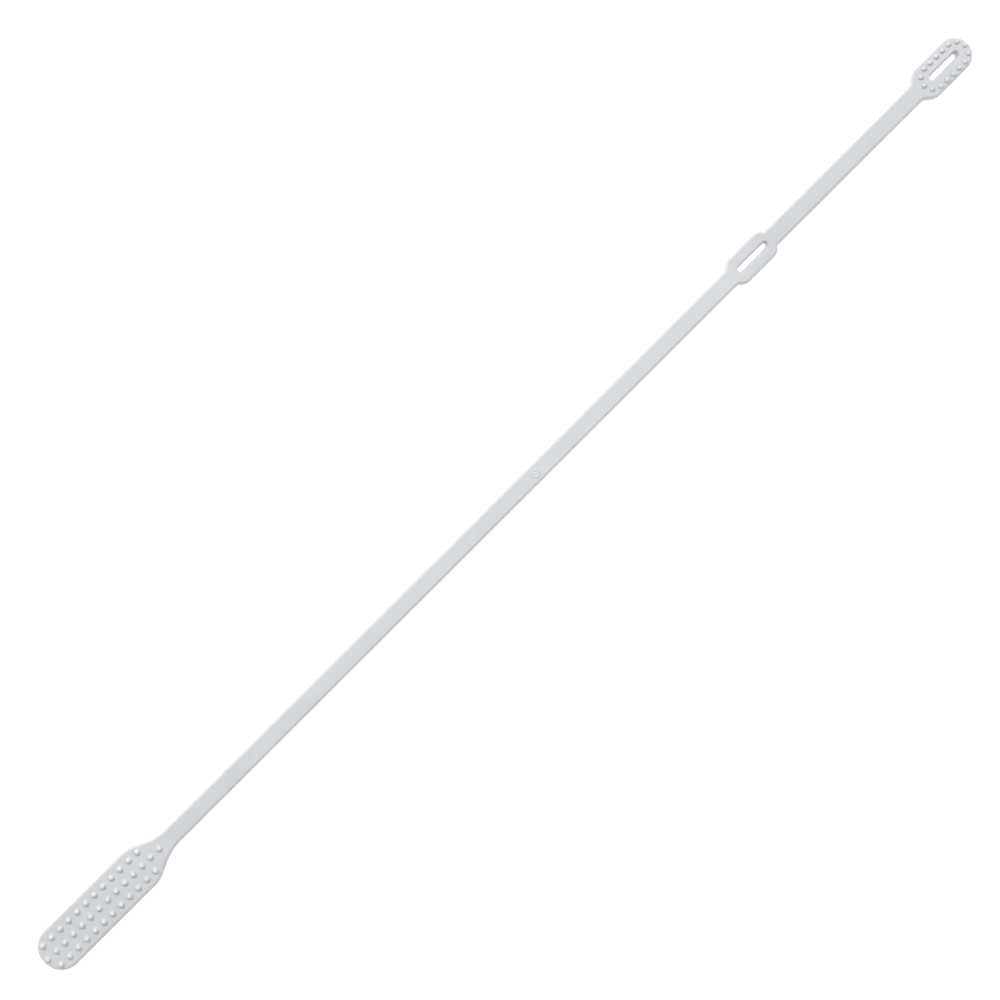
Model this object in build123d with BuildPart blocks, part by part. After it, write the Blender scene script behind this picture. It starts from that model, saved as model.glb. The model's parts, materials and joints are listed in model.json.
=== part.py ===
from build123d import *

import math
import os

# A flexible nubbed strap tool, lying flat with its nubs up. It is one moulding. The strap is cut into
# links with a hinge between each two, which stands for the bending and twisting of the plastic.
#
# X runs along the strap from the paddle to the tip, Z is up from the flat underside, and the origin is
# the centre of the underside. Lengths are in millimetres and angles in degrees.

os.makedirs("parts", exist_ok=True)

# Whole object
total_length = 400.0
paddle_end = -total_length / 2
tip_end = total_length / 2
edge_round = 0.8
corner_round = 0.6

# Strap
strap_width = 5.9
thickness = 2.5
mid_height = thickness / 2

# Paddle, measured from its free end
paddle_width = 14.4
paddle_corner_radius = 6.9
shoulder_at = 42.8
shoulder_radius = 10.0
neck_angle = 25.0
neck_radius = 18.0
neck_length = (paddle_width - strap_width) / 2 / math.tan(math.radians(neck_angle))

# Nubs on the paddle: a middle row between two outer rows, half a pitch out of step with them
nub_diameter = 1.95
nub_height = 0.85
nub_pitch = 3.7
nub_row_offset = 4.0
middle_row_count = 14
outer_row_count = 12
middle_row_start = 1.85

# Hinges between links. A round knuckle as thick as the strap sits in a socket with a small gap.
knuckle_radius = mid_height
socket_radius = knuckle_radius + 0.1
twist_gap = 0.1

# How far a cutting shape or an uncut stub runs past what it meets
overrun = 2 * thickness

# Twisting part of the strap, next to the paddle
twist_start = paddle_end + 60.0
twist_pitch = 12.0
twist_joint_count = 6

# Bending part of the strap. Its crown is the top of the loop that the strap bends into. Every hinge
# turns by the same angle, so the hinges are closest at the crown, where the loop is tightest. Their
# axes lean a little, so that the bent strap passes beside itself.
crown_x = 12.9
bend_joint_count = 24
bend_step = 13.0
loop_size = 41.0
hinge_lean = 4.15

# Middle loop
mid_loop_start = paddle_end + 297.9
mid_loop_length = 17.4
mid_loop_width = 9.5
mid_loop_corner_radius = 3.4
mid_slot_x = paddle_end + 307.0
mid_slot_length = 12.6

# Both slots. Their walls have a moulding draft, so they are widest at the top.
slot_width = 2.1
slot_draft = 7.0
slot_bevel = 0.25

# Tail strap, between the two loops
tail_start = paddle_end + 318.0
tail_pitch = 7.25
tail_joint_count = 9

# Tip loop
tip_loop_start = paddle_end + 378.4
tip_loop_width = 11.0
tip_flare_angle = 38.0
tip_shoulder_radius = 4.0
tip_corner_radius = 5.3
tip_edge_round = 0.4
tip_slot_x = paddle_end + 389.9
tip_slot_length = 12.0

# Nubs round the tip slot: a straight row on each side and three more round each end
tip_nub_diameter = 1.7
tip_nub_height = 0.75
tip_nub_pitch = 2.64
tip_nub_side_count = 5
tip_nub_offset = 3.7
tip_nub_end_radius = 3.55
tip_nub_end_step = 45.0

# Injection gate mark, a low ring on the crown of the strap
gate_outer_radius = 1.35
gate_inner_radius = 0.85
gate_height = 0.15

strap_half = strap_width / 2


def bend_position(index):
    """The x of a bending hinge, counted in hinges from the crown: half-integers either side of 0."""
    quarter_turn = math.radians((180.0 + bend_step * index) / 4)
    return crown_x + loop_size * math.log(math.tan(quarter_turn))


twist_x = [twist_start + twist_pitch * i for i in range(twist_joint_count)]
bend_x = [bend_position(i - (bend_joint_count - 1) / 2) for i in range(bend_joint_count)]
tail_x = [tail_start + tail_pitch * i for i in range(tail_joint_count)]


def hinge_plane(x, lean):
    """The plane square to a hinge's axis at x, with its own y upwards."""
    c = math.cos(math.radians(lean))
    s = math.sin(math.radians(lean))
    return Plane(origin=(x, 0, mid_height), x_dir=(c, -s, 0), z_dir=(-s, -c, 0))


def off_knuckle(x, lean):
    """What is cut from a link's left end to leave a round knuckle on the hinge at x."""
    with BuildSketch(hinge_plane(x, lean)) as cutter:
        Rectangle(2 * overrun, overrun, align=(Align.MAX, Align.CENTER))
        Circle(knuckle_radius, mode=Mode.SUBTRACT)
    return cutter.sketch


def off_socket(x, lean):
    """What is cut from a link's right end to leave a hollow for the knuckle on the hinge at x."""
    with BuildSketch(hinge_plane(x, lean)) as cutter:
        Rectangle(2 * overrun, overrun, align=(Align.MIN, Align.CENTER))
        Circle(socket_radius)
    return cutter.sketch


def strap_section(x):
    """The strap's rounded cross-section at x."""
    with BuildSketch(Plane.YZ.offset(x)) as section:
        with Locations((0, mid_height)):
            RectangleRounded(strap_width, thickness, edge_round)
    return section.sketch


def save(part, name):
    """Labels a finished piece and writes it to its own file."""
    part.label = name
    export_step(part, f"parts/{name}.step")


def make_bending_link(name, left, right, lean):
    """A link with a knuckle on the hinge at left and a socket round the hinge at right."""
    with BuildPart() as link:
        extrude(strap_section(left - thickness), amount=right - left + thickness)
        extrude(off_knuckle(left, lean), amount=strap_width, both=True, mode=Mode.SUBTRACT)
        extrude(off_socket(right, lean), amount=strap_width, both=True, mode=Mode.SUBTRACT)
    save(link.part, name)


def make_twisting_link(name, left, right):
    """A link with a flat face at each end, half a gap back from the twisting joints."""
    with BuildPart() as link:
        extrude(strap_section(left + twist_gap / 2), amount=right - left - twist_gap)
    save(link.part, name)


def domes(points, diameter, height):
    """Separate domed nubs standing on the top face at these points."""
    sphere_radius = ((diameter / 2) ** 2 + height**2) / (2 * height)
    centre = thickness + height - sphere_radius
    with BuildPart() as nubs:
        with Locations(*[(x, y, centre) for x, y in points]):
            Sphere(sphere_radius)
        split(bisect_by=Plane.XY.offset(thickness), keep=Keep.TOP)
    return nubs.part


def outer_rim(part):
    """The outer edges of a plate's top and bottom faces."""
    faces = part.faces().filter_by(Axis.Z).sort_by(Axis.Z)
    return faces[0].outer_wire().edges() + faces[-1].outer_wire().edges()


def slot_rim(part):
    """The edges of a slot in a plate's top face."""
    top_face = part.faces().filter_by(Axis.Z).sort_by(Axis.Z)[-1]
    return top_face.inner_wires()[0].edges()


# Paddle blade, with its neck and a stub of strap that ends in a flat face at the first twisting joint
paddle_half = paddle_width / 2
neck_end = paddle_end + shoulder_at + neck_length
paddle_stub_end = twist_start + overrun
with BuildPart() as paddle_blade:
    with BuildSketch():
        with BuildLine():
            FilletPolyline(
                (paddle_end, 0),
                (paddle_end, paddle_half),
                (paddle_end + shoulder_at, paddle_half),
                (neck_end, strap_half),
                (paddle_stub_end, strap_half),
                radius=[paddle_corner_radius, shoulder_radius, neck_radius],
            )
            Line((paddle_stub_end, strap_half), (paddle_stub_end, 0))
            mirror(about=Plane.XZ)
        make_face()
    extrude(amount=thickness)
    fillet(outer_rim(paddle_blade), edge_round)
    split(bisect_by=Plane.YZ.offset(twist_start - twist_gap / 2), keep=Keep.BOTTOM)
save(paddle_blade.part, "paddle_blade")

# Nubs on the paddle
middle_row = [(paddle_end + middle_row_start + nub_pitch * i, 0) for i in range(middle_row_count)]
outer_rows = [
    (paddle_end + middle_row_start + nub_pitch * (i + 0.5), side * nub_row_offset)
    for side in (-1, 1)
    for i in range(outer_row_count)
]
save(domes(middle_row + outer_rows, nub_diameter, nub_height), "paddle_nubs")

# Twisting links. The last one ends in the socket of the first bending hinge.
for i in range(twist_joint_count - 1):
    make_twisting_link(f"strap_link_{i + 1:02d}", twist_x[i], twist_x[i + 1])

with BuildPart() as last_twisting_link:
    link_start = twist_x[-1] + twist_gap / 2
    extrude(strap_section(link_start), amount=bend_x[0] - link_start)
    extrude(off_socket(bend_x[0], hinge_lean), amount=strap_width, both=True, mode=Mode.SUBTRACT)
save(last_twisting_link.part, f"strap_link_{twist_joint_count:02d}")

# Bending links
for i in range(bend_joint_count - 1):
    number = twist_joint_count + 1 + i
    make_bending_link(f"strap_link_{number:02d}", bend_x[i], bend_x[i + 1], hinge_lean)

# Gate mark
with BuildPart() as gate_mark:
    with BuildSketch(Plane.XY.offset(thickness)):
        with Locations((crown_x, 0)):
            Circle(gate_outer_radius)
            Circle(gate_inner_radius, mode=Mode.SUBTRACT)
    extrude(amount=gate_height)
save(gate_mark.part, "gate_mark")

# Middle loop, with a knuckle on the last bending hinge and a socket round the first tail hinge
mid_loop_centre = mid_loop_start + mid_loop_length / 2
with BuildPart() as mid_loop:
    with BuildSketch() as mid_outline:
        with Locations((mid_loop_centre, 0)):
            Rectangle(mid_loop_length + 3 * overrun, strap_width)
            RectangleRounded(mid_loop_length, mid_loop_width, mid_loop_corner_radius)
        inner_corners = mid_outline.vertices().filter_by_position(
            Axis.X, mid_loop_start, mid_loop_start + mid_loop_length
        )
        fillet(
            [v for v in inner_corners if abs(abs(v.Y) - strap_half) < corner_round],
            corner_round,
        )
    extrude(amount=thickness)
    fillet(outer_rim(mid_loop), edge_round)
    with BuildSketch(Plane.XY.offset(thickness)):
        with Locations((mid_slot_x, 0)):
            SlotOverall(mid_slot_length, slot_width)
    extrude(amount=-thickness, taper=slot_draft, mode=Mode.SUBTRACT)
    chamfer(slot_rim(mid_loop), slot_bevel)
    extrude(off_knuckle(bend_x[-1], hinge_lean), amount=strap_width, both=True, mode=Mode.SUBTRACT)
    extrude(off_socket(tail_x[0], 0), amount=strap_width, both=True, mode=Mode.SUBTRACT)
save(mid_loop.part, "mid_loop")

# Tail links
for i in range(tail_joint_count - 1):
    make_bending_link(f"tail_link_{i + 1:02d}", tail_x[i], tail_x[i + 1], 0)

# Tip loop, with a knuckle on the last tail hinge
tip_half = tip_loop_width / 2
flare_length = (tip_half - strap_half) / math.tan(math.radians(tip_flare_angle))
stub_start = tail_x[-1] - overrun
with BuildPart() as tip_loop:
    with BuildSketch():
        with BuildLine():
            Line((stub_start, 0), (stub_start, strap_half))
            FilletPolyline(
                (stub_start, strap_half),
                (tip_loop_start, strap_half),
                (tip_loop_start + flare_length, tip_half),
                (tip_end, tip_half),
                (tip_end, 0),
                radius=[corner_round, tip_shoulder_radius, tip_corner_radius],
            )
            mirror(about=Plane.XZ)
        make_face()
    extrude(amount=thickness)
    fillet(outer_rim(tip_loop), tip_edge_round)
    with BuildSketch(Plane.XY.offset(thickness)):
        with Locations((tip_slot_x, 0)):
            SlotOverall(tip_slot_length, slot_width)
    extrude(amount=-thickness, taper=slot_draft, mode=Mode.SUBTRACT)
    chamfer(slot_rim(tip_loop), slot_bevel)
    extrude(off_knuckle(tail_x[-1], 0), amount=strap_width, both=True, mode=Mode.SUBTRACT)
save(tip_loop.part, "tip_loop")

# Nubs round the tip slot
side_start = tip_slot_x - tip_nub_pitch * (tip_nub_side_count - 1) / 2
side_nubs = [
    (side_start + tip_nub_pitch * i, side * tip_nub_offset)
    for side in (-1, 1)
    for i in range(tip_nub_side_count)
]
side_end = tip_slot_x + (tip_slot_x - side_start)
end_nubs = [
    (
        (side_end if way > 0 else side_start) + way * tip_nub_end_radius * math.cos(angle),
        tip_nub_end_radius * math.sin(angle),
    )
    for way in (-1, 1)
    for angle in [math.radians(tip_nub_end_step * k) for k in (-1, 0, 1)]
]
save(domes(side_nubs + end_nubs, tip_nub_diameter, tip_nub_height), "tip_nubs")
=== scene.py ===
"""A flexible nubbed plastic strap on a pale floor, seen from above.

It is one moulding in light grey satin plastic: a nubbed paddle, a long strap, a slotted middle loop, a
short tail strap and a nubbed, slotted tip loop. The strap is made of short lengths, one over each joint.

All lengths are in metres. X runs from the paddle to the tip, and Z is up from the flat underside.
"""

import json
import math

import bpy
import numpy as np
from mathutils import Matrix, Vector
from mathutils.geometry import tessellate_polygon

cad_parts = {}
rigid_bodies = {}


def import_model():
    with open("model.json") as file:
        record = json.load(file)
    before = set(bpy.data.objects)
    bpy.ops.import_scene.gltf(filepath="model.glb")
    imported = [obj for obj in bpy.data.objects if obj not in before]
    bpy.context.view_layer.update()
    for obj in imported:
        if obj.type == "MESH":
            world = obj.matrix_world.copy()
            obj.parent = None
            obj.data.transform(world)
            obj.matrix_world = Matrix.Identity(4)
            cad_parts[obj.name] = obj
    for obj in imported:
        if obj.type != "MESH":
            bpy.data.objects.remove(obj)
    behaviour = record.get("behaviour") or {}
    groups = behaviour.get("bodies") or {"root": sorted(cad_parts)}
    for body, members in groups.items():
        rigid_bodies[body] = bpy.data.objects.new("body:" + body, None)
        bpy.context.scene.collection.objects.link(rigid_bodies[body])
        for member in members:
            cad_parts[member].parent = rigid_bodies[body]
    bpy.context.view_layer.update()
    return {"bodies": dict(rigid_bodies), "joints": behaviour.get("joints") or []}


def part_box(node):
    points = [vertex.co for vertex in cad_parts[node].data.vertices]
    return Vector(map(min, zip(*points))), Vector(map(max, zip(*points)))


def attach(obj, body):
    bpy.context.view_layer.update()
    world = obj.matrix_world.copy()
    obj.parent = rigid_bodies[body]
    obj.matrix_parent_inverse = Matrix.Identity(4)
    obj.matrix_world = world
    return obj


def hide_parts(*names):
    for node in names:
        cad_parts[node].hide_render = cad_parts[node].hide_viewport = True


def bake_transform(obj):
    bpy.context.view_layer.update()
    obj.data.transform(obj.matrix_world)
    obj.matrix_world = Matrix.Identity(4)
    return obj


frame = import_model()

MM = 0.001

# Sizes that the frame gives
blade_low, blade_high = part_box("paddle_blade")
link_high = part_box("strap_link_01")[1]
PADDLE_END = blade_low.x
TIP_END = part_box("tip_loop")[1].x
STRAP_HALF = link_high.y
THICKNESS = link_high.z
PADDLE_HALF = blade_high.y
MID_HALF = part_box("mid_loop")[1].y
TIP_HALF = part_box("tip_loop")[1].y

# Edges. The top edge rolls over in a quarter ellipse, and the bottom edge has a small radius. A ring of
# flat surface beside each keeps the shading of the faces flat.
TOP_ROLL = (0.85 * MM, 1.2 * MM)
TIP_TOP_ROLL = (0.75 * MM, 0.9 * MM)
BOTTOM_ROUND = 0.5 * MM
EDGE_STEPS = 8
FLAT_RING = 0.06 * MM
ARC_STEP = math.radians(5)

# Paddle outline
PADDLE_CORNER = 6.9 * MM
SHOULDER_X = PADDLE_END + 42.8 * MM
SHOULDER_ROUND = 10 * MM
NECK_ANGLE = math.radians(25)
NECK_ROUND = 18 * MM
NECK_X = SHOULDER_X + (PADDLE_HALF - STRAP_HALF) / math.tan(NECK_ANGLE)
PADDLE_CUT = PADDLE_END + 57 * MM

# Each loop's plate takes in a short stub of the strap beside it, so that no piece ends in a corner
LOOP_STUB = 0.9 * MM
TIP_STUB = 0.8 * MM

# Middle loop
MID_START = PADDLE_END + 297.9 * MM
MID_END = MID_START + 17.4 * MM
MID_CORNER = 3.4 * MM
MID_SLOT_X = PADDLE_END + 307 * MM
MID_SLOT_LENGTH = 12.6 * MM
MID_CUTS = (MID_START - LOOP_STUB, MID_END + LOOP_STUB)

# Tip loop
TIP_START = PADDLE_END + 378.4 * MM
TIP_FLARE = math.radians(38)
TIP_SHOULDER_ROUND = 4 * MM
TIP_CORNER = 5.3 * MM
TIP_NECK_ROUND = 0.6 * MM
TIP_SLOT_X = PADDLE_END + 389.9 * MM
TIP_SLOT_LENGTH = 12 * MM
TIP_CUT = TIP_START - TIP_STUB

# Both slots. Their walls have a moulding draft, so they are widest at the top.
SLOT_WIDTH = 2.1 * MM
SLOT_DRAFT = math.radians(7)
SLOT_TOP_ROLL = (0.25 * MM, 0.3 * MM)
SLOT_BOTTOM_ROUND = 0.1 * MM
SLOT_STEPS = 4

# Strap lengths: rings this far apart at most
RING_GAP = 0.7 * MM

# A noise texture's values lie mostly between these
NOISE_LOW = 0.3
NOISE_HIGH = 0.7

# Plastic: its two greys, with slow flow marks between them, and the fine grain over them. The pairs are the
# values at the grain's low and high places.
DARKER_GREY = (0.630, 0.648, 0.678, 1)
LIGHTER_GREY = (0.666, 0.680, 0.705, 1)
FLOW_MARK_SCALE = 90
GRAIN_SCALE = 2600
GRAIN_TONES = (0.93, 1.04)
GRAIN_ROUGHNESS = (0.38, 0.50)
GRAIN_DEPTH = 0.07 * MM

# The grain is full on the paddle, and this share of it is left on the strap and the loops
STRAP_GRAIN = 0.35
GRAIN_ENDS = (SHOULDER_X, PADDLE_CUT + 12 * MM)

# The tops of the nubs are smoother, and paler with a painted highlight, from the first height to the second
NUB_HIGHLIGHT_GREY = (0.715, 0.728, 0.748, 1)
NUB_TOP_ROUGHNESS = 0.30
NUB_TOP_HEIGHTS = (THICKNESS + 0.35 * MM, THICKNESS + 0.80 * MM)

# From the middle loop on, the colour is made a little darker than on the long strap
FAR_TONE = 0.94
FAR_TONE_ENDS = (MID_START - 12 * MM, MID_END + 12 * MM)

# The strap lies along the picture's rising diagonal
CAMERA_ROLL = math.radians(-44.93)


# ---------------------------------------------------------------- outlines and profiles


def edge_profile(top_roll, bottom_round, steps=EDGE_STEPS):
    """(inset, height) pairs up a moulded edge, from the underside round to the top face."""
    width, drop = top_roll
    turns = [math.pi / 2 * i / steps for i in range(steps + 1)]
    low = [(bottom_round * (1 - math.sin(a)), bottom_round * (1 - math.cos(a))) for a in turns]
    high = [(width * (1 - math.cos(a)), THICKNESS - drop * (1 - math.sin(a))) for a in turns]
    return [(bottom_round + FLAT_RING, 0.0), *low, *high, (width + FLAT_RING, THICKNESS)]


def rounded(corners, radii):
    """An open path through the corners, each inner one rounded to its radius."""
    pts = [np.array(c, float) for c in corners]
    path = [pts[0]]
    for before, corner, after, radius in zip(pts, pts[1:], pts[2:], radii):
        a = (before - corner) / np.linalg.norm(before - corner)
        b = (after - corner) / np.linalg.norm(after - corner)
        half = math.acos(np.clip(a @ b, -1, 1)) / 2
        middle = corner + (a + b) / np.linalg.norm(a + b) * radius / math.sin(half)
        start = corner + a * radius / math.tan(half) - middle
        turn = math.pi - 2 * half
        way = math.copysign(1, a[1] * b[0] - a[0] * b[1])
        count = max(3, math.ceil(turn / ARC_STEP))
        for i in range(count + 1):
            t = way * turn * i / count
            c, s = math.cos(t), math.sin(t)
            path.append(middle + np.array([c * start[0] - s * start[1], s * start[0] + c * start[1]]))
    path.append(pts[-1])
    return np.array(path)


def slot_outline(x, length, width):
    """A closed slot with round ends, anticlockwise."""
    radius = width / 2
    reach = length / 2 - radius
    count = math.ceil(math.pi / ARC_STEP)
    right = [math.pi * (i / count - 0.5) for i in range(count + 1)]
    ends = [(x + reach + radius * math.cos(a), radius * math.sin(a)) for a in right]
    ends += [(x - reach - radius * math.cos(a), -radius * math.sin(a)) for a in right]
    return np.array(ends)


def outward(path, closed):
    """The unit normal to the right of each point's direction of travel."""
    if closed:
        along = np.roll(path, -1, axis=0) - np.roll(path, 1, axis=0)
    else:
        along = np.gradient(path, axis=0)
        along[0] = path[1] - path[0]
        along[-1] = path[-1] - path[-2]
    along /= np.linalg.norm(along, axis=1, keepdims=True)
    return np.stack([along[:, 1], -along[:, 0]], axis=1)


# ---------------------------------------------------------------- mesh making


def make_object(name, vertices, faces, sharp_loops=()):
    """A smooth-shaded mesh object that also keeps each point's rest position for its material."""
    mesh = bpy.data.meshes.new(name)
    mesh.from_pydata([tuple(v) for v in vertices], [], faces)
    mesh.validate()
    mesh.polygons.foreach_set("use_smooth", [True] * len(mesh.polygons))
    sharp = {frozenset(pair) for loop in sharp_loops for pair in zip(loop, loop[1:] + loop[:1])}
    for edge in mesh.edges:
        edge.use_edge_sharp = frozenset(edge.vertices) in sharp
    rest = mesh.attributes.new("rest", "FLOAT_VECTOR", "POINT")
    rest.data.foreach_set("vector", np.array([v.co for v in mesh.vertices], np.float32).ravel())
    obj = bpy.data.objects.new(name, mesh)
    bpy.context.scene.collection.objects.link(obj)
    mesh.materials.append(plastic)
    return obj


def make_plate(name, chains, profile, slot=None):
    """A flat moulded plate with rounded edges.

    chains are open outlines, anticlockwise, and a flat cut joins each one's end to the next one's start.
    slot is a closed outline, anticlockwise, that goes right through.
    """
    vertices, faces, cuts, grids = [], [], [], []
    levels = len(profile)
    for chain in chains:
        normals = outward(chain, closed=False)
        first = len(vertices)
        for inset, z in profile:
            ring = chain - normals * inset
            vertices += [(x, y, z) for x, y in ring]
        grids.append([[first + k * len(chain) + i for i in range(len(chain))] for k in range(levels)])
    for grid in grids:
        for low, high in zip(grid, grid[1:]):
            faces += [(a, b, c, d) for a, b, c, d in zip(low, low[1:], high[1:], high)]
    for here, after in zip(grids, grids[1:] + grids[:1]):
        cut = [row[-1] for row in here] + [row[0] for row in reversed(after)]
        cuts.append(cut)
        faces.append(tuple(reversed(cut)))
    holes = {}
    if slot is not None:
        normals = outward(slot, closed=True)
        first = len(vertices)
        slot_profile = edge_profile(SLOT_TOP_ROLL, SLOT_BOTTOM_ROUND, SLOT_STEPS)
        for inset, z in slot_profile:
            inset -= (THICKNESS - z) * math.tan(SLOT_DRAFT)
            vertices += [(x, y, z) for x, y in slot + normals * inset]
        n = len(slot)
        rows = len(slot_profile)
        grid = [[first + k * n + i for i in range(n)] for k in range(rows)]
        for low, high in zip(grid, grid[1:]):
            around = zip(low, low[1:] + low[:1], high[1:] + high[:1], high)
            faces += [(d, c, b, a) for a, b, c, d in around]
        holes = {0: grid[0], -1: grid[-1]}
    for level, upward in ((0, False), (-1, True)):
        loops = [[i for grid in grids for i in grid[level]]]
        if holes:
            loops.append(list(reversed(holes[level])))
        flat = [i for loop in loops for i in loop]
        triangles = tessellate_polygon([[Vector(vertices[i]) for i in loop] for loop in loops])
        for triangle in triangles:
            a, b, c = (flat[i] for i in triangle)
            (ax, ay, _), (bx, by, _), (cx, cy, _) = vertices[a], vertices[b], vertices[c]
            anticlockwise = (bx - ax) * (cy - ay) > (by - ay) * (cx - ax)
            faces.append((a, b, c) if anticlockwise == upward else (c, b, a))
    return make_object(name, vertices, faces, cuts)


def strap_section():
    """The strap's cross-section as (y, z), the right side up and then the left side down."""
    side = [(STRAP_HALF - inset, z) for inset, z in edge_profile(TOP_ROLL, BOTTOM_ROUND)]
    return side + [(-y, z) for y, z in reversed(side)]


def make_strap(name, start, end):
    """A closed straight length of strap between two cross-sections."""
    section = strap_section()
    n = len(section)
    count = max(4, math.ceil((end - start) / RING_GAP))
    vertices = [(start + (end - start) * k / count, y, z) for k in range(count + 1) for y, z in section]
    faces = []
    for k in range(count):
        for i in range(n):
            j = (i + 1) % n
            faces.append((k * n + i, (k + 1) * n + i, (k + 1) * n + j, k * n + j))
    first = list(range(n))
    last = list(range(count * n, count * n + n))
    faces += [tuple(first), tuple(reversed(last))]
    return make_object(name, vertices, faces, [first, last])


def make_lathed(name, centres, profile, segments=32):
    """One separate turned solid at each centre. profile is (radius, height) from the foot to the axis."""
    vertices, faces = [], []
    for cx, cy in centres:
        first = len(vertices)
        for radius, z in profile[:-1]:
            for i in range(segments):
                a = 2 * math.pi * i / segments
                vertices.append((cx + radius * math.cos(a), cy + radius * math.sin(a), z))
        top = len(vertices)
        vertices.append((cx, cy, profile[-1][1]))
        rows = len(profile) - 1
        for k in range(rows - 1):
            for i in range(segments):
                j = (i + 1) % segments
                a, b = first + k * segments, first + (k + 1) * segments
                faces.append((a + i, a + j, b + j, b + i))
        last = first + (rows - 1) * segments
        faces += [(last + i, last + (i + 1) % segments, top) for i in range(segments)]
        faces.append(tuple(first + i for i in reversed(range(segments))))
    return make_object(name, vertices, faces)


# ---------------------------------------------------------------- material


def make_plastic():
    """Light cool grey satin plastic, with a fine moulded grain that is stronger on the paddle."""
    material = bpy.data.materials.new("moulded_grey_plastic")
    material.use_nodes = True
    nodes, links = material.node_tree.nodes, material.node_tree.links
    shader = nodes["Principled BSDF"]
    shader.inputs["IOR"].default_value = 1.5
    shader.inputs["Subsurface Weight"].default_value = 0.12
    shader.inputs["Subsurface Radius"].default_value = (1.0, 0.95, 0.9)
    shader.inputs["Subsurface Scale"].default_value = 0.8 * MM

    rest = nodes.new("ShaderNodeAttribute")
    rest.attribute_name = "rest"

    def noise(scale, detail, roughness):
        node = nodes.new("ShaderNodeTexNoise")
        node.inputs["Scale"].default_value = scale
        node.inputs["Detail"].default_value = detail
        node.inputs["Roughness"].default_value = roughness
        links.new(rest.outputs["Vector"], node.inputs["Vector"])
        return node.outputs["Fac"]

    def spread(value, low, high, start=NOISE_LOW, end=NOISE_HIGH, shape="LINEAR"):
        """The value from start to end, spread from low to high."""
        node = nodes.new("ShaderNodeMapRange")
        node.interpolation_type = shape
        node.inputs["To Min"].default_value = low
        node.inputs["To Max"].default_value = high
        node.inputs["From Min"].default_value = start
        node.inputs["From Max"].default_value = end
        links.new(value, node.inputs["Value"])
        return node.outputs["Result"]

    def times(a, b):
        node = nodes.new("ShaderNodeMath")
        node.operation = "MULTIPLY"
        links.new(a, node.inputs[0])
        links.new(b, node.inputs[1])
        return node.outputs["Value"]

    split = nodes.new("ShaderNodeSeparateXYZ")
    links.new(rest.outputs["Vector"], split.inputs["Vector"])
    along, height = split.outputs["X"], split.outputs["Z"]

    # Colour: slow flow marks, with the grain's faint speckle over them
    marks = noise(FLOW_MARK_SCALE, detail=3, roughness=0.5)
    ramp = nodes.new("ShaderNodeValToRGB")
    ramp.color_ramp.elements[0].position = NOISE_LOW
    ramp.color_ramp.elements[0].color = DARKER_GREY
    ramp.color_ramp.elements[1].position = NOISE_HIGH
    ramp.color_ramp.elements[1].color = LIGHTER_GREY
    links.new(marks, ramp.inputs["Fac"])
    grain = noise(GRAIN_SCALE, detail=4, roughness=0.6)
    speckle = nodes.new("ShaderNodeMix")
    speckle.data_type = "RGBA"
    speckle.blend_type = "MULTIPLY"
    speckle.inputs["Factor"].default_value = 1.0
    shade = nodes.new("ShaderNodeCombineColor")
    far_tone = spread(along, 1.0, FAR_TONE, *FAR_TONE_ENDS, "SMOOTHSTEP")
    tone = times(spread(grain, *GRAIN_TONES), far_tone)
    for channel in ("Red", "Green", "Blue"):
        links.new(tone, shade.inputs[channel])
    links.new(ramp.outputs["Color"], speckle.inputs["A"])
    links.new(shade.outputs["Color"], speckle.inputs["B"])

    # The tops of the nubs are smoother than the grained face that they stand on, and paler with a painted
    # highlight
    top = spread(height, 0.0, 1.0, *NUB_TOP_HEIGHTS, "SMOOTHSTEP")
    pale = nodes.new("ShaderNodeMix")
    pale.data_type = "RGBA"
    pale.inputs["B"].default_value = NUB_HIGHLIGHT_GREY
    links.new(top, pale.inputs["Factor"])
    links.new(speckle.outputs["Result"], pale.inputs["A"])
    links.new(pale.outputs["Result"], shader.inputs["Base Color"])

    # Roughness: satin, and a little duller where the grain is high
    finish = nodes.new("ShaderNodeMix")
    finish.inputs["B"].default_value = NUB_TOP_ROUGHNESS
    links.new(top, finish.inputs["Factor"])
    links.new(spread(grain, *GRAIN_ROUGHNESS), finish.inputs["A"])
    links.new(finish.outputs["Result"], shader.inputs["Roughness"])

    # Grain depth: full on the paddle, fading along the neck to a fine finish on the strap and loops
    depth = spread(along, 1.0, STRAP_GRAIN, *GRAIN_ENDS, "SMOOTHSTEP")
    bump = nodes.new("ShaderNodeBump")
    bump.inputs["Distance"].default_value = GRAIN_DEPTH
    links.new(grain, bump.inputs["Height"])
    links.new(depth, bump.inputs["Strength"])
    links.new(bump.outputs["Normal"], shader.inputs["Normal"])
    return material


plastic = make_plastic()


# ---------------------------------------------------------------- paddle


def mirrored(half_path):
    """A whole outline from its upper half, which ends on the X axis."""
    lower = half_path[::-1] * np.array([1, -1])
    return np.concatenate([half_path, lower[1:]])


edge = edge_profile(TOP_ROLL, BOTTOM_ROUND)
paddle_outline = mirrored(
    rounded(
        [
            (PADDLE_CUT, STRAP_HALF),
            (NECK_X, STRAP_HALF),
            (SHOULDER_X, PADDLE_HALF),
            (PADDLE_END, PADDLE_HALF),
            (PADDLE_END, 0),
        ],
        [NECK_ROUND, SHOULDER_ROUND, PADDLE_CORNER],
    )
)
paddle = make_plate("paddle", [paddle_outline], edge)
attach(paddle, "paddle")
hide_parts("paddle_blade")


# ---------------------------------------------------------------- nubs


# Each is a nub's diameter, its height and the radius of the fillet round its foot
PADDLE_NUB = (1.9 * MM, 0.85 * MM, 0.22 * MM)
TIP_NUB = (1.65 * MM, 0.75 * MM, 0.18 * MM)
NUB_SUNK = 0.1 * MM
FILLET_STEPS = 5
DOME_STEPS = 9


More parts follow.
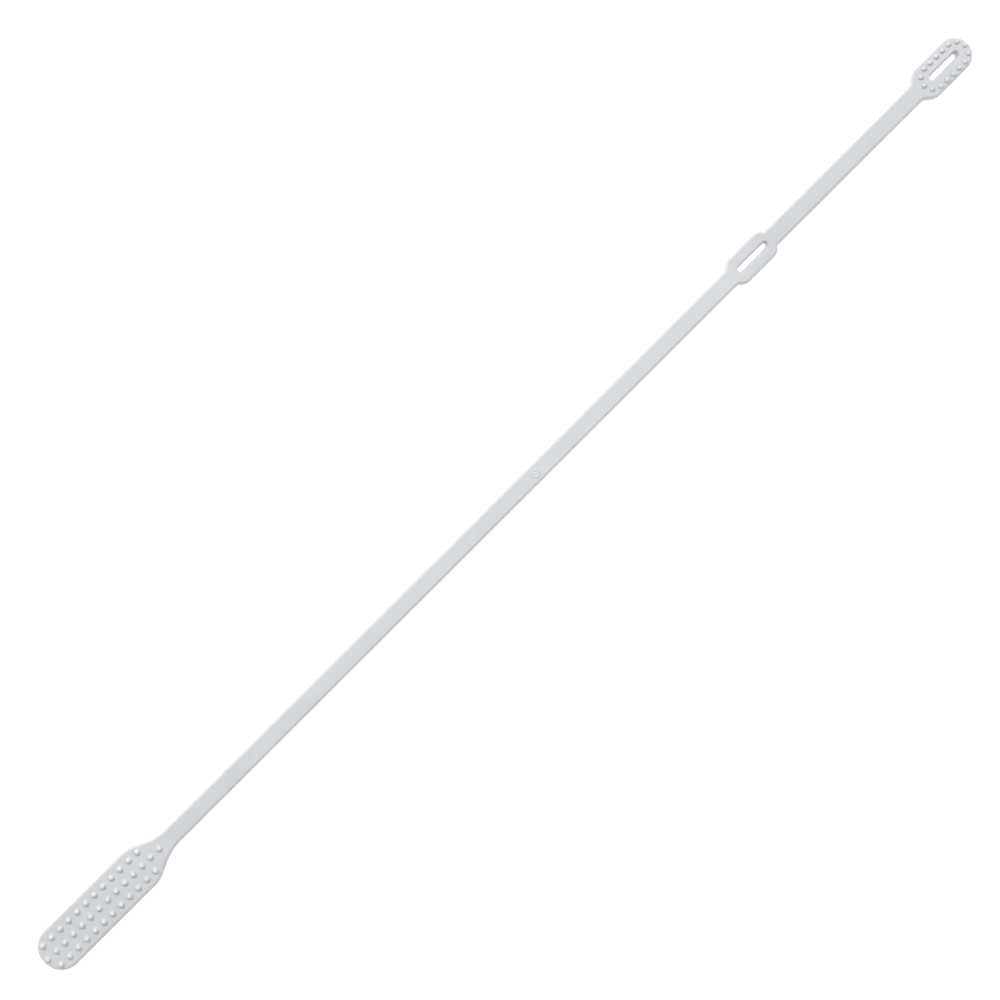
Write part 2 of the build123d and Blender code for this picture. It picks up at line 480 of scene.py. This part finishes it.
def nub_profile(diameter, height, foot):
    """A dome that springs from the surface in a small fillet, from the buried foot to the top."""
    base = diameter / 2
    sphere = (base**2 + height**2) / (2 * height)
    centre = height - sphere
    # The fillet is an arc of radius foot that touches the surface and the dome from outside
    reach = math.sqrt((sphere + foot) ** 2 - (foot - centre) ** 2)
    touch = math.atan2(foot - centre, reach)
    profile = [(reach, -NUB_SUNK)]
    for i in range(FILLET_STEPS + 1):
        a = -math.pi / 2 - (math.pi / 2 - touch) * i / FILLET_STEPS
        profile.append((reach + foot * math.cos(a), foot + foot * math.sin(a)))
    for i in range(1, DOME_STEPS + 1):
        a = touch + (math.pi / 2 - touch) * i / DOME_STEPS
        profile.append((sphere * math.cos(a), centre + sphere * math.sin(a)))
    return [(max(r, 0.0), THICKNESS + z) for r, z in profile]


NUB_PITCH = 3.7 * MM
NUB_ROW = 4.0 * MM
NUB_START = PADDLE_END + 1.85 * MM
MIDDLE_COUNT = 14
OUTER_COUNT = 12
paddle_points = [(NUB_START + NUB_PITCH * i, 0) for i in range(MIDDLE_COUNT)]
for side in (-1, 1):
    paddle_points += [(NUB_START + NUB_PITCH * (i + 0.5), side * NUB_ROW) for i in range(OUTER_COUNT)]
paddle_nubs = make_lathed("paddle_domes", paddle_points, nub_profile(*PADDLE_NUB))
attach(paddle_nubs, "paddle")
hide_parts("paddle_nubs")

TIP_NUB_PITCH = 2.64 * MM
TIP_NUB_ROW = 3.7 * MM
TIP_NUB_RADIUS = 3.55 * MM
TIP_SIDE_COUNT = 5
side_reach = TIP_NUB_PITCH * (TIP_SIDE_COUNT - 1) / 2
tip_points = []
for side in (-1, 1):
    for i in range(TIP_SIDE_COUNT):
        tip_points.append((TIP_SLOT_X - side_reach + TIP_NUB_PITCH * i, side * TIP_NUB_ROW))
    for angle in (-math.pi / 4, 0, math.pi / 4):
        x = TIP_SLOT_X + side * (side_reach + TIP_NUB_RADIUS * math.cos(angle))
        tip_points.append((x, TIP_NUB_RADIUS * math.sin(angle)))
tip_nubs = make_lathed("tip_domes", tip_points, nub_profile(*TIP_NUB))
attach(tip_nubs, "tip")
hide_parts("tip_nubs")


# ---------------------------------------------------------------- loops


def mid_side():
    """The middle loop's upper side, from its tip end to its paddle end."""
    drop = MID_CORNER - (MID_HALF - STRAP_HALF)
    inset = MID_CORNER - math.sqrt(MID_CORNER**2 - drop**2)
    count = math.ceil(math.acos(drop / MID_CORNER) / ARC_STEP)
    first = math.asin(drop / MID_CORNER)
    arc = [first + (math.pi / 2 - first) * i / count for i in range(count + 1)]
    middle = MID_END - MID_CORNER
    rise = MID_HALF - MID_CORNER
    right = [(middle + MID_CORNER * math.cos(a), rise + MID_CORNER * math.sin(a)) for a in arc]
    centre = (MID_START + MID_END) / 2
    left = [(2 * centre - x, y) for x, y in reversed(right)]
    return np.array([(MID_CUTS[1], STRAP_HALF), *right, *left, (MID_CUTS[0], STRAP_HALF)])


upper = mid_side()
lower = upper[::-1] * np.array([1, -1])
mid_slot = slot_outline(MID_SLOT_X, MID_SLOT_LENGTH, SLOT_WIDTH)
mid_loop = make_plate("slotted_loop", [upper, lower], edge, mid_slot)
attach(mid_loop, "mid_loop")
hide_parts("mid_loop")

flare_x = TIP_START + (TIP_HALF - STRAP_HALF) / math.tan(TIP_FLARE)
tip_upper = rounded(
    [
        (TIP_END, 0),
        (TIP_END, TIP_HALF),
        (flare_x, TIP_HALF),
        (TIP_START, STRAP_HALF),
        (TIP_CUT, STRAP_HALF),
    ],
    [TIP_CORNER, TIP_SHOULDER_ROUND, TIP_NECK_ROUND],
)
tip_lower = tip_upper[::-1] * np.array([1, -1])
tip_outline = np.concatenate([tip_lower, tip_upper[1:]])
tip_slot = slot_outline(TIP_SLOT_X, TIP_SLOT_LENGTH, SLOT_WIDTH)
tip_loop = make_plate("tip", [tip_outline], edge_profile(TIP_TOP_ROLL, BOTTOM_ROUND), tip_slot)
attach(tip_loop, "tip")
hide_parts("tip_loop")


# ---------------------------------------------------------------- strap


def joint_between(a, b):
    """The x of the joint between two bodies."""
    for joint in frame["joints"]:
        if {joint["parent"], joint["child"]} == {a, b}:
            return joint["pos_m"][0]
    raise ValueError(f"no joint between {a} and {b}")


def make_chain(prefix, bodies, start, end):
    """One length of strap over each joint of a chain of bodies, meeting half-way between joints."""
    joints = [joint_between(a, b) for a, b in zip(bodies, bodies[1:])]
    meets = [start, *[(a + b) / 2 for a, b in zip(joints, joints[1:])], end]
    for i, (before, after) in enumerate(zip(bodies, bodies[1:])):
        left, right = meets[i], meets[i + 1]
        piece = make_strap(f"{prefix}_{i + 1:02d}", left, right)
        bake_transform(piece)
        if i < len(joints) - 1:
            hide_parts(after)


strap_bodies = sorted(name for name in frame["bodies"] if name.startswith("strap_link_"))
tail_bodies = sorted(name for name in frame["bodies"] if name.startswith("tail_link_"))
make_chain("strap", ["paddle", *strap_bodies, "mid_loop"], PADDLE_CUT, MID_CUTS[0])
make_chain("tail", ["mid_loop", *tail_bodies, "tip"], MID_CUTS[1], TIP_CUT)


# ---------------------------------------------------------------- gate mark

gate_low, gate_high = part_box("gate_mark")
gate_centre = ((gate_low.x + gate_high.x) / 2, 0)
gate_profile = [
    (1.40, -0.10),
    (1.40, 0.00),
    (1.34, 0.10),
    (1.22, 0.14),
    (1.06, 0.14),
    (0.94, 0.09),
    (0.84, 0.02),
    (0.62, 0.01),
    (0.48, 0.05),
    (0.34, 0.11),
    (0.16, 0.13),
    (0.00, 0.13),
]
gate = make_lathed("gate_ring", [gate_centre], [(r * MM, THICKNESS + z * MM) for r, z in gate_profile], 40)
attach(gate, "strap_link_18")
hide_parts("gate_mark")


# ---------------------------------------------------------------- floor, light and camera


FLOOR_REACH = 3.0
FLOOR_GREY = (0.95, 0.95, 0.95, 1)
FLOOR_GLOW = 0.50
WORLD_STRENGTH = 0.41

# Each light's name, its place to the right, up and above the floor, its size and its power
LIGHTS = [
    ("left_light", (-0.42, 0.30, 0.46), 0.25, 2.6),
    ("right_light", (0.46, 0.58, 0.68), 0.36, 2.6),
    ("top_light", (0.0, 0.1, 1.3), 1.2, 3.0),
]

# The camera's middle, beside the object's
VIEW_X = -0.6 * MM
VIEW_Y = 1.9 * MM
FRAME_WIDTH = 306.5 * MM
LENS = 45


def make_floor():
    """A plain pale floor under the flat underside."""
    mesh = bpy.data.meshes.new("floor")
    corners = [(x * FLOOR_REACH, y * FLOOR_REACH, 0) for x, y in ((-1, -1), (1, -1), (1, 1), (-1, 1))]
    mesh.from_pydata(corners, [], [(0, 1, 2, 3)])
    floor = bpy.data.objects.new("floor", mesh)
    bpy.context.scene.collection.objects.link(floor)
    material = bpy.data.materials.new("pale_floor")
    material.use_nodes = True
    shader = material.node_tree.nodes["Principled BSDF"]
    shader.inputs["Base Color"].default_value = FLOOR_GREY
    shader.inputs["Roughness"].default_value = 0.9
    shader.inputs["Emission Color"].default_value = (1, 1, 1, 1)
    shader.inputs["Emission Strength"].default_value = FLOOR_GLOW
    mesh.materials.append(material)


def make_light(name, place, size, power):
    """A square soft light that faces the middle of the object."""
    lamp = bpy.data.lights.new(name, "AREA")
    lamp.shape = "SQUARE"
    lamp.size = size
    lamp.energy = power
    light = bpy.data.objects.new(name, lamp)
    light.location = place
    light.rotation_euler = (-Vector(place)).to_track_quat("-Z", "Y").to_euler()
    bpy.context.scene.collection.objects.link(light)


def picture_place(right, up, height):
    """A place given by its distances to the right and up in the camera's view, and above the floor."""
    c, s = math.cos(CAMERA_ROLL), math.sin(CAMERA_ROLL)
    return (right * c - up * s, right * s + up * c, height)


make_floor()
for light_name, place, size, power in LIGHTS:
    make_light(light_name, picture_place(*place), size, power)

world = bpy.data.worlds.new("soft_room")
world.use_nodes = True
background = world.node_tree.nodes["Background"]
background.inputs["Color"].default_value = (1, 1, 1, 1)
background.inputs["Strength"].default_value = WORLD_STRENGTH
bpy.context.scene.world = world
bpy.context.scene.view_settings.view_transform = "Standard"

# The camera looks straight down on the middle, with the strap across the frame's diagonal
camera_data = bpy.data.cameras.new("camera")
camera_data.lens = LENS
camera = bpy.data.objects.new("camera", camera_data)
distance = FRAME_WIDTH * LENS / camera_data.sensor_width
camera.location = (VIEW_X, VIEW_Y, THICKNESS + distance)
camera.rotation_euler = (0, 0, CAMERA_ROLL)
bpy.context.scene.collection.objects.link(camera)
bpy.context.scene.camera = camera
